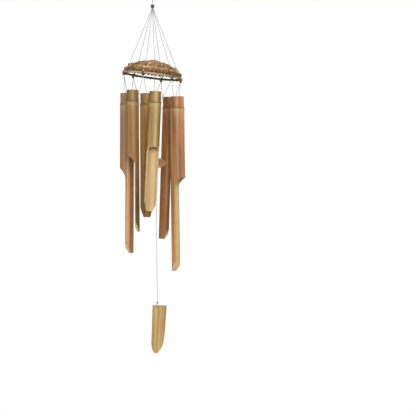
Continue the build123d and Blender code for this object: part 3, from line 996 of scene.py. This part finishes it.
bindings = Shape()
for bundle in range(0, BUNDLES, 2):
    angle = BUNDLE_START + bundle * BUNDLE_STEP + random.uniform(-1.5, 1.5)
    a = radians(angle)
    along_hoop = cap_back * cos(a) - cap_across * sin(a)
    out_dir = cap_across * cos(a) + cap_back * sin(a)
    turns = random.choice((1.6, 2.2, 2.6))
    steps = int(16 * turns)
    path = []
    normals = []
    for i in range(steps):
        t = i / (steps - 1)
        roll = radians(100) + 2 * pi * turns * t
        away = out_dir * cos(roll) + cap_up * sin(roll)
        centre = on_cap(HOOP_R, angle, 0) + along_hoop * (2.1 * MM * turns * (t - 0.5))
        path.append(centre + away * (HOOP_D / 2 + 0.3 * MM))
        normals.append(away)
    tone = min(1.0, max(0.1, random.gauss(0.4, 0.25)))
    strand(bindings, path, tapered(steps, 1.5 * MM, 0.6), tapered(steps, 0.7 * MM, 0.6), normals, tone)
bindings.piece("hoop_bindings", [cane], "canopy", ["rim_hoop"], "rattan")

# ---------------------------------------------------------------- tubes

SCOOP_START = 0.465  # of the tube's length
SCOOPS = [  # how far each is turned, its tongue's reach in radii, its height
    (0, -0.17, 20 * MM), (0, -0.05, 13 * MM), (-40, -0.3, 18 * MM),
    (0, -0.1, 26 * MM), (0, -0.1, 24 * MM), (0, -0.15, 24 * MM),
]
TIP_H = 20 * MM
TIP_CUT = 6 * MM
TONGUE_COLUMNS = 44
FRONT_COLUMNS = 30
SKIN, INSIDE, CUT = range(3)


def eased(low, high, at):
    t = min(1.0, max(0.0, (at - low) / (high - low)))
    return t * t * (3 - 2 * t)


def hump(at, middle_at, half):
    return 2.718 ** (-(((at - middle_at) / half) ** 2))


class Bamboo:
    """One tube's shape in its seat: radii, cuts, and the small faults of a grown thing."""

    def __init__(self, n, seat):
        self.seat = seat
        self.seed = 3.7 * n + 1.3
        self.radius = seat.widest - NODE_RIDGE
        self.length = seat.top - seat.bottom
        turned, cut, height = SCOOPS[n]
        self.turn = Matrix.Rotation(radians(turned), 3, "Z")
        self.flat = cut * self.radius
        depth = self.radius - self.flat
        self.scoop_r = (depth**2 + height**2) / (2 * depth)
        self.scoop_top = seat.top - SCOOP_START * self.length
        self.scoop_flat = self.scoop_top - height
        self.half_width = sqrt(self.radius**2 - self.flat**2)
        self.bow = (random.uniform(-0.8, 0.8) * MM, random.uniform(-0.6, 0.6) * MM)
        self.oval = random.uniform(0, pi)

    def outer(self, z):
        base = self.radius - NECK_STEP * eased(NODE_Z - 1 * MM, NODE_Z + 4.5 * MM, z)
        swell = NODE_RIDGE * 0.75 * hump(z, NODE_Z + 0.4 * MM, 2.6 * MM)
        scar = 0.5 * MM * hump(z, NODE_Z - 1.2 * MM, 0.55 * MM)
        groove = 0.42 * MM * hump(z, NODE_Z + 0.1 * MM, 0.5 * MM)
        return base + swell + scar - groove

    def grown(self, x, y, z, wall=1.0):
        """Moves a point of the ideal tube to where the grown one has it."""
        turn = atan2(y, x)
        s = z / self.length
        around = Vector((cos(turn) * 1.3 + self.seed, sin(turn) * 1.3, z * 9))
        flute = Vector((cos(turn) * 4 + self.seed, sin(turn) * 4, z * 5))
        swell = 1 + 0.012 * cos(2 * (turn - self.oval)) + 0.012 * noise.noise(around)
        swell += wall * 0.006 * noise.noise(flute)
        still = eased(0, 40 * MM, abs(z))
        bend = [still * bow * s * s * 2 for bow in self.bow]
        return Vector((x * swell + bend[0], y * swell + bend[1], z))

    def scoop_z(self, x, turn):
        """The height at which the scoop's cut leaves a wall that far outwards."""
        into = min(max(x - self.flat, 0.0), self.scoop_r)
        ragged = 0.5 * MM * noise.noise(Vector((turn * 4, self.seed, 0)))
        arc = sqrt(self.scoop_r**2 - (self.scoop_r - into) ** 2)
        return self.scoop_flat + arc + ragged * min(1, into / (2 * MM))

    def tip_z(self, y):
        """The height of the tongue's end, whose corners are cut away."""
        flat_half = self.half_width - TIP_CUT
        slope = (TIP_H + 1 * MM) / (self.radius - flat_half)
        ragged = 0.35 * MM * noise.noise(Vector((y * 500, self.seed, 3)))
        return max(self.seat.bottom, self.seat.bottom - 1 * MM + (abs(y) - flat_half) * slope) + ragged


def tube_levels(bamboo):
    """Heights of the rows from the top down to just above the scoop, closer at the node."""
    z = bamboo.seat.top
    levels = []
    while z > bamboo.scoop_top + 4 * MM:
        levels.append(z)
        at_node = abs(z - NODE_Z) < 5 * MM
        step = 0.45 * MM if at_node else 2.6 * MM if z > NODE_Z - 12 * MM else 7 * MM
        z -= step
    return levels


def columns(radius, flat):
    """Angles round the wall, the tongue's first, split where the flat cut crosses it."""
    edge = acos(max(-1.0, min(1.0, flat / radius)))
    tongue = [edge + (2 * pi - 2 * edge) * i / TONGUE_COLUMNS for i in range(TONGUE_COLUMNS + 1)]
    front = []
    for i in range(1, FRONT_COLUMNS):
        u = 2 * i / FRONT_COLUMNS - 1
        front.append(edge * (1 - (1 - abs(u)) ** 1.7) * (1 if u > 0 else -1))
    return tongue + front


def bamboo_tube(n, seat, materials):
    bamboo = Bamboo(n, seat)
    shape = Shape()
    last_tongue = TONGUE_COLUMNS

    def put(x, y, z, wall=1.0):
        local = bamboo.turn @ bamboo.grown(x, y, z, wall)
        local.x += seat.axis_x
        return shape.point(seat.outward(local), local)

    def ring(radius, z, wall=1.0):
        return [put(radius * cos(a), radius * sin(a), z, wall) for a in columns(radius, bamboo.flat)]

    def to_scoop(radius_at, start, steps):
        """Rows that go down to the scoop's lip in front and to the tongue's start behind."""
        made = []
        for s in range(1, steps + 1):
            share = s / steps
            row = []
            for i, a in enumerate(columns(radius_at(start), bamboo.flat)):
                r = radius_at(start)
                lip = bamboo.scoop_flat if i <= last_tongue else bamboo.scoop_z(r * cos(a), a)
                z = start + (lip - start) * share
                row.append(put(r * cos(a), r * sin(a), z))
            made.append(row)
        return made

    def tongue_rows(radius, steps):
        made = []
        for s in range(1, steps + 1):
            share = s / steps
            row = []
            for i, a in enumerate(columns(radius, bamboo.flat)[: last_tongue + 1]):
                x, y = radius * cos(a), radius * sin(a)
                end = bamboo.tip_z(y)
                z = bamboo.scoop_flat + (end - bamboo.scoop_flat) * share
                if i in (0, last_tongue):
                    x += 0.3 * MM * noise.noise(Vector((z * 60, i, bamboo.seed))) * sin(share * pi)
                row.append(put(x, y, z))
            made.append(row)
        return made

    levels = tube_levels(bamboo)
    outer = [ring(bamboo.outer(z), z) for z in levels]
    outer += to_scoop(bamboo.outer, levels[-1], 8)
    bore = bamboo.radius - TUBE_WALL
    under = NODE_Z - NODE_PLATE_T / 2
    inner_levels = [under - 7 * MM * i for i in range(200) if under - 7 * MM * i > levels[-1]]
    inner = [ring(bore * (0.82 if i == 0 else 1), z) for i, z in enumerate(inner_levels)]
    inner += to_scoop(lambda z: bore, levels[-1], 8)
    for first, second in zip(outer, outer[1:]):
        shape.between(first, second, SKIN, closed=True)
    for first, second in zip(inner, inner[1:]):
        shape.between(second, first, INSIDE, closed=True)

    tongue_steps = 18
    outside = [outer[-1][: last_tongue + 1], *tongue_rows(bamboo.radius, tongue_steps)]
    inside = [inner[-1][: last_tongue + 1], *tongue_rows(bore, tongue_steps)]
    for first, second in zip(outside, outside[1:]):
        shape.between(first, second, SKIN)
    for first, second in zip(inside, inside[1:]):
        shape.between(second, first, INSIDE)
    for first, second in zip(range(tongue_steps), range(1, tongue_steps + 1)):
        for i, flip in ((0, False), (last_tongue, True)):
            corners = [outside[first][i], outside[second][i], inside[second][i], inside[first][i]]
            shape.face(corners[::-1] if flip else corners, CUT)
    shape.between(outside[-1], inside[-1], CUT)
    lip = [last_tongue, *range(last_tongue + 1, len(outer[-1])), 0]
    shape.between([outer[-1][i] for i in lip], [inner[-1][i] for i in lip], CUT)

    neck = bamboo.outer(seat.top)
    cup = neck - TUBE_WALL
    plate = NODE_Z + NODE_PLATE_T / 2
    cup_rows = [ring(cup, seat.top - (seat.top - plate) * s / 8) for s in range(8)]
    cup_rows.append(ring(cup * 0.9, plate))
    shape.between(cup_rows[0], outer[0], CUT, closed=True)
    for first, second in zip(cup_rows, cup_rows[1:]):
        shape.between(second, first, INSIDE, closed=True)
    for row, level, sign in ((cup_rows[-1], plate, 1), (inner[0], under, -1)):
        widest = cup * 0.9 if sign > 0 else bore * 0.82
        for share in (0.7, 0.4, 0.12):
            dish = -0.8 * MM * (1 - share**2) * sign
            nearer = ring(widest * share, level + dish)
            shape.between(*((nearer, row) if sign > 0 else (row, nearer)), INSIDE, closed=True)
            row = nearer
        shape.cap(row, INSIDE, flip=sign < 0)

    tube = f"tube_{n + 1}"
    made = shape.piece(tube + "_bamboo", materials, tube, [tube], f"bamboo_{n + 1}")
    drill_and_ease(made, seat)
    return made


def drill_and_ease(piece, seat):
    """Softens the sawn edges a little. The drill is meant to cut the lacing holes, but its
    boolean leaves the wall whole: the tubes have no holes yet."""
    drill = Shape()
    turns = [2 * pi * k / 20 for k in range(20)]
    ends = [
        [drill.point(seat.outward((TUBE_HOLE_R * cos(t), y, TUBE_HOLE_R * sin(t)))) for t in turns]
        for y in (-seat.widest - 2 * MM, seat.widest + 2 * MM)
    ]
    drill.between(ends[0], ends[1], closed=True)
    drill.cap(ends[0], flip=True)
    drill.cap(ends[1])
    mesh = bpy.data.meshes.new("drill")
    mesh.from_pydata(drill.places, [], drill.faces)
    mesh.materials.append(piece.data.materials[CUT])
    bit = bpy.data.objects.new("drill", mesh)
    link(bit)
    cut = piece.modifiers.new("lacing_holes", "BOOLEAN")
    cut.object = bit
    cut.operation = "DIFFERENCE"
    cut.solver = "EXACT"
    cut.material_mode = "TRANSFER"
    ease = piece.modifiers.new("eased_edges", "BEVEL")
    ease.width = 0.22 * MM
    ease.segments = 2
    ease.limit_method = "ANGLE"
    ease.angle_limit = radians(48)
    ease.material = CUT
    bpy.context.view_layer.update()
    seen = piece.evaluated_get(bpy.context.evaluated_depsgraph_get())
    final = bpy.data.meshes.new_from_object(seen)
    piece.modifiers.clear()
    bpy.data.objects.remove(bit)
    grain = final.attributes["grain"]
    grain.data.foreach_set("vector", [x for v in final.vertices for x in seat.inward(v.co)])
    final.set_sharp_from_angle(angle=radians(35))
    piece.data = final


BAMBOO_LOOKS = [  # dark, base, light, tint, how much of the tint, specks
    ((0.225, 0.094, 0.030), (0.395, 0.192, 0.066), (0.58, 0.335, 0.13), (0.43, 0.157, 0.060), 0.58, 0.35),
    ((0.185, 0.110, 0.034), (0.325, 0.200, 0.062), (0.47, 0.305, 0.110), (0.22, 0.175, 0.050), 0.55, 0.7),
    ((0.105, 0.060, 0.014), (0.205, 0.110, 0.027), (0.31, 0.180, 0.052), (0.33, 0.12, 0.028), 0.45, 0.5),
    ((0.185, 0.095, 0.036), (0.300, 0.165, 0.070), (0.41, 0.25, 0.115), (0.33, 0.14, 0.055), 0.55, 0.35),
    ((0.270, 0.126, 0.026), (0.415, 0.205, 0.050), (0.52, 0.285, 0.083), (0.365, 0.135, 0.027), 0.50, 0.45),
    ((0.185, 0.068, 0.013), (0.275, 0.110, 0.022), (0.35, 0.17, 0.042), (0.28, 0.085, 0.016), 0.55, 0.45),
]
LOWER_END_LIGHT_AND_TONE = [  # what the colour is multiplied by towards each tube's lower end: on tube 4 it is painted light, brightening the tongue as if lit; on tubes 5 and 6 the lower ends are darker
    (1.02, 1.02, 1.0), (1, 1, 1), (1, 1, 1), (1.25, 1.13, 0.98), (0.88, 0.85, 0.8), (0.85, 0.78, 0.68),
]
for n, seat in enumerate(seats):
    dark, base, light, tint, tint_share, speckle = BAMBOO_LOOKS[n]
    lower = LOWER_END_LIGHT_AND_TONE[n]
    lip = seat.top - SCOOP_START * (seat.top - seat.bottom)
    bamboo_tube(n, seat, [
        bamboo_skin(
            f"bamboo_skin_{n + 1}", dark, base, light, tint, tint_share, 0.61 * n, NODE_Z, speckle, lower,
        ),
        # painted shade inside each bore, from just under the scoop's top to the node
        bamboo_inside(f"bamboo_inside_{n + 1}", (0.54, 0.390, 0.190), 0.37 * n, (lip - 7 * MM, NODE_Z)),
        bamboo_cut(f"bamboo_cut_{n + 1}", (0.50, 0.36, 0.18), 0.83 * n),
    ])

# ---------------------------------------------------------------- clapper

CLAPPER_R = 21.5 * MM
CLAPPER_T = 4.0 * MM
CLAPPER_HOLE_R = 2.3 * MM
clapper_at = Vector(joint("clapper_tilt")["pos_m"])
disc_faces = frame["nodes"]["clapper_disc"].data.polygons
disc_up = max((f for f in disc_faces if f.normal.z > 0.5), key=lambda f: f.area).normal.normalized()
disc_across = (Vector((1, 0, 0)) - disc_up * disc_up.x).normalized()
disc_back = disc_up.cross(disc_across)
CLAPPER_PROFILE = [  # radius share, height in half thicknesses: a turned disc with a worn edge
    (0.0, 0.80), (0.012, 0.97), (0.35, 1.0), (0.62, 0.985), (0.655, 0.90), (0.69, 0.985), (0.90, 0.96),
    (0.955, 0.82), (0.988, 0.52), (1.0, 0.15), (1.0, -0.15), (0.988, -0.52), (0.955, -0.82), (0.90, -0.97),
    (0.5, -1.0), (0.012, -0.97), (0.0, -0.80),
]
clapper = Shape()
DISC_STEPS = 96
profile_rows = []
for share, height in CLAPPER_PROFILE:
    row = []
    for i in range(DISC_STEPS):
        turn = 2 * pi * i / DISC_STEPS
        wear = 1 - 0.012 * max(0.0, noise.noise(Vector((cos(turn) * 2.2, sin(turn) * 2.2, 5)))) * share
        reach = (CLAPPER_HOLE_R + (CLAPPER_R - CLAPPER_HOLE_R) * share) * wear
        warp = 0.12 * MM * noise.noise(Vector((cos(turn) * share * 2, sin(turn) * share * 2, 9)))
        local = Vector((reach * cos(turn), reach * sin(turn), height * CLAPPER_T / 2 + warp))
        place = clapper_at + disc_across * local.x + disc_back * local.y + disc_up * local.z
        row.append(clapper.point(place, local))
    profile_rows.append(row)
for first, second in zip(profile_rows, profile_rows[1:]):
    clapper.between(second, first, closed=True)
clapper.between(profile_rows[0], profile_rows[-1], closed=True)
clapper.piece("clapper_turned", [clapper_wood()], "clapper", ["clapper_disc"], "clapper_wood", sharp=30)

# ---------------------------------------------------------------- wind catcher

SAIL_R = 14.6 * MM
SAIL_WALL = 3.0 * MM
SAIL_CUT = [(0.0, 0.0), (0.6, 0.28), (0.79, 0.5), (0.93, 0.87), (1.0, 1.02)]  # share of length, of radius


class SailSeat(Seat):
    def __init__(self):
        rock = joint("catcher_rock")
        self.origin = Vector(rock["pos_m"])
        self.y = Vector(rock["axis"]).normalized()
        if self.y.x < 0:
            self.y = -self.y
        mesh = frame["nodes"]["sail"].data
        flat = [f for f in mesh.polygons if f.normal.z > 0.98 and abs(f.normal @ self.y) < 0.02]
        self.z = max(flat, key=lambda f: f.center.z).normal.normalized()
        self.x = self.y.cross(self.z).normalized()
        self.matrix = Matrix((self.x, self.y, self.z)).transposed()
        local = [self.inward(v.co) for v in mesh.vertices]
        self.top = max(p.z for p in local)
        self.bottom = min(p.z for p in local)
        self.widest = SAIL_R


def cut_share(down):
    """How far outwards the sail's slanting cut has come at a share of its length."""
    for (z0, x0), (z1, x1) in zip(SAIL_CUT, SAIL_CUT[1:]):
        if down <= z1:
            t = (down - z0) / (z1 - z0)
            return x0 + (x1 - x0) * (0.75 * t + 0.25 * t * t)
    return 1.02


def tip_of(share):
    """The share of the length at which the cut reaches a share of the radius."""
    low, high = 0.0, 1.0
    for _ in range(30):
        half = (low + high) / 2
        low, high = (half, high) if cut_share(half) < share else (low, half)
    return low


sail_seat = SailSeat()
sail = Shape()
SAIL_ROWS = 44
SAIL_COLUMNS = 28
sail_axis = -(SAIL_R - SAIL_WALL / 2)
sail_length = (sail_seat.top - sail_seat.bottom)


def sail_surface(radius):
    made = []
    tip = tip_of(radius / SAIL_R)
    for i in range(SAIL_ROWS + 1):
        t = i / SAIL_ROWS
        down = tip * (1 - (1 - t) ** 1.5)
        edge = acos(min(1.0, max(-1.0, cut_share(down) * SAIL_R / radius)))
        row = []
        for k in range(SAIL_COLUMNS + 1):
            u = 2 * k / SAIL_COLUMNS - 1
            turn = u * edge
            bumpy = 1 + 0.014 * noise.noise(Vector((turn * 1.6, down * 3, radius * 90)))
            lift = -0.5 * MM * (1 - down) * noise.noise(Vector((turn * 2.4, 7, 1)))
            local = Vector((
                sail_axis + radius * cos(turn) * bumpy, radius * sin(turn) * bumpy,
                sail_seat.top - sail_length * down + (lift if i == 0 else 0),
            ))
            row.append(sail.point(sail_seat.outward(local), local))
        made.append(row)
    return made


sail_outside = sail_surface(SAIL_R)
sail_inside = sail_surface(SAIL_R - SAIL_WALL)
for first, second in zip(range(SAIL_ROWS), range(1, SAIL_ROWS + 1)):
    sail.between(sail_outside[second], sail_outside[first], SKIN)
    sail.between(sail_inside[first], sail_inside[second], INSIDE)
    for k, flip in ((0, True), (SAIL_COLUMNS, False)):
        corners = [
            sail_outside[first][k], sail_outside[second][k], sail_inside[second][k], sail_inside[first][k],
        ]
        sail.face(corners[::-1] if flip else corners, CUT)
sail.between(sail_outside[0], sail_inside[0], CUT)
sail.between(sail_inside[-1], sail_outside[-1], CUT)
SAIL_DARK, SAIL_BASE, SAIL_LIGHT = (0.34, 0.21, 0.064), (0.465, 0.300, 0.094), (0.57, 0.405, 0.155)
sail.piece(
    "wind_catcher",
    [
        bamboo_skin(
            "catcher_skin", SAIL_DARK, SAIL_BASE, SAIL_LIGHT, (0.50, 0.26, 0.08), 0.5, 5.3,
            # painted shade on the sail's right side
            right_side_shade=(0.78, 0.74, 0.70),
        ),
        bamboo_inside("catcher_inside", (0.62, 0.45, 0.23), 4.1),
        bamboo_cut("catcher_cut", (0.50, 0.36, 0.18), 3.3),
    ],
    "sail", ["sail"], "catcher_bamboo",
)

# A short loop of line goes through the sail's wall, which has no hole yet, and up to its knot.
front = sail_seat.origin + sail_seat.x * (5.5 * MM)
back = sail_seat.origin - sail_seat.x * (5.5 * MM)
front_start = sail_knot + sail_seat.x * (1.1 * MM) - sail_seat.z * (1.2 * MM)
back_end = sail_knot - sail_seat.x * (1.1 * MM) - sail_seat.z * (1.2 * MM)
loop_route = [
    front_start, toward(front, front_start, 2.2 * MM), front, toward(front, back, 2.2 * MM),
    toward(back, front, 2.2 * MM), back, toward(back, back_end, 2.2 * MM), back_end,
]
nylon_piece("sail_loop", loop_route, "sail_loop")

# ---------------------------------------------------------------- floor

floor_m = Material("floor_plaster", Specular_IOR_Level=0.2)
floor_place = floor_m.node("TexCoord").outputs["Object"]
floor_mottle = floor_m.noise(floor_place, 4, detail=4.0)
floor_colour = floor_m.ramp(floor_mottle, [(0.3, (0.86, 0.86, 0.85)), (0.7, (0.92, 0.92, 0.915))])
floor_rough = floor_m.range(floor_mottle, 0.3, 0.7, 0.8, 0.9)
floor_paint = floor_m.finish(floor_colour, floor_rough, floor_m.bump(floor_mottle, 0.2 * MM, 0.3))
FLOOR_Z = -2.05
floor_mesh = bpy.data.meshes.new("floor")
FLOOR_R = 3.6
rim = [(FLOOR_R * cos(2 * pi * i / 96), FLOOR_R * sin(2 * pi * i / 96), FLOOR_Z) for i in range(96)]
floor_mesh.from_pydata(rim, [], [tuple(range(96))])
floor_mesh.materials.append(floor_paint)
floor = bpy.data.objects.new("floor", floor_mesh)
link(floor)
floor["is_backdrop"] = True

size = {"cad_box": [list(c) for c in cad_box], "visual_box": [list(c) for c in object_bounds()]}
